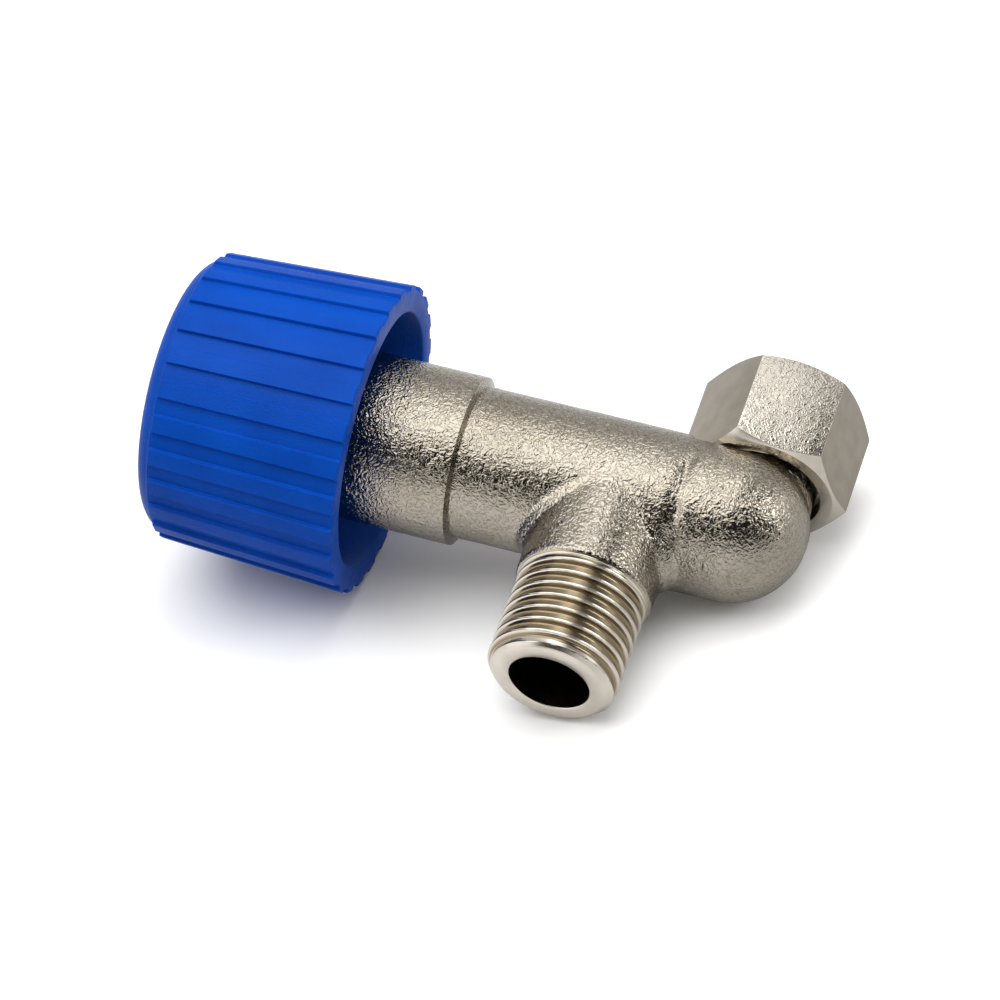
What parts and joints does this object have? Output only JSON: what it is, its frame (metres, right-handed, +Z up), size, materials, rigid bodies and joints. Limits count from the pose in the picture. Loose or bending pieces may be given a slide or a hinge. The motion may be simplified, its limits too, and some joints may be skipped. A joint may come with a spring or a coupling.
{
  "type": "boiler filling valve",
  "caption": "Screw-down filling valve: forged body with a male threaded outlet, an elbow inlet with a loose swivel nut, and a deep ribbed knob.",
  "frame": {"origin": "centre of the outlet's end face, at the mouth of its bore", "axes": "-Y the way the outlet points, X along the barrel with the knob at -X, +Y out of the inlet nut, Z up"},
  "size_m": [0.1092, 0.0628, 0.0508],
  "materials": {
    "nickel_brass": "forged brass, blasted and nickel plated",
    "turned_brass": "turned brass, bare",
    "blue_plastic": "injection moulded, fine satin grain",
    "seal_rubber": "moulded rubber, matt",
    "seal_fibre": "pressed fibre sheet, matt",
    "zinc_steel": "zinc plated steel",
    "spring_steel": "spring steel, oiled"
  },
  "bodies": {
    "valve": {"valve_body": "nickel_brass", "bonnet": "turned_brass", "bonnet_seal": "seal_fibre", "nut_retaining_ring": "spring_steel"},
    "jumper": {"jumper": "turned_brass", "jumper_snap_ring": "spring_steel", "seat_washer": "seal_rubber", "washer_nut": "turned_brass"},
    "knob": {"spindle": "turned_brass", "stem_o_ring_outer": "seal_rubber", "stem_o_ring_inner": "seal_rubber", "spindle_circlip": "spring_steel", "knob": "blue_plastic", "knob_insert": "turned_brass", "knob_screw": "zinc_steel", "knob_screw_washer": "zinc_steel", "knob_cap": "blue_plastic"},
    "inlet_seal": {"inlet_washer": "seal_fibre"},
    "nut": {"swivel_nut": "nickel_brass"}
  },
  "joints": [
    {"name": "jumper_lift", "type": "slide", "parent": "valve", "child": "jumper", "axis": [1, 0, 0], "range_m": [-0.00375, 0]},
    {"name": "knob_turn", "type": "hinge", "parent": "jumper", "child": "knob", "pos_m": [0, 0.0371, 0], "axis": [1, 0, 0], "range_deg": [-900, 0]},
    {"name": "nut_play", "type": "slide", "parent": "valve", "child": "inlet_seal", "axis": [0, 1, 0], "range_m": [0, 0.001]},
    {"name": "nut_spin", "type": "hinge", "parent": "inlet_seal", "child": "nut", "pos_m": [0.0213, 0.0371, 0], "axis": [0, 1, 0], "continuous": true}
  ],
  "couplings": [
    {"joint": "knob_turn", "follows": "jumper_lift", "rad_per_m": 4188.8}
  ]
}
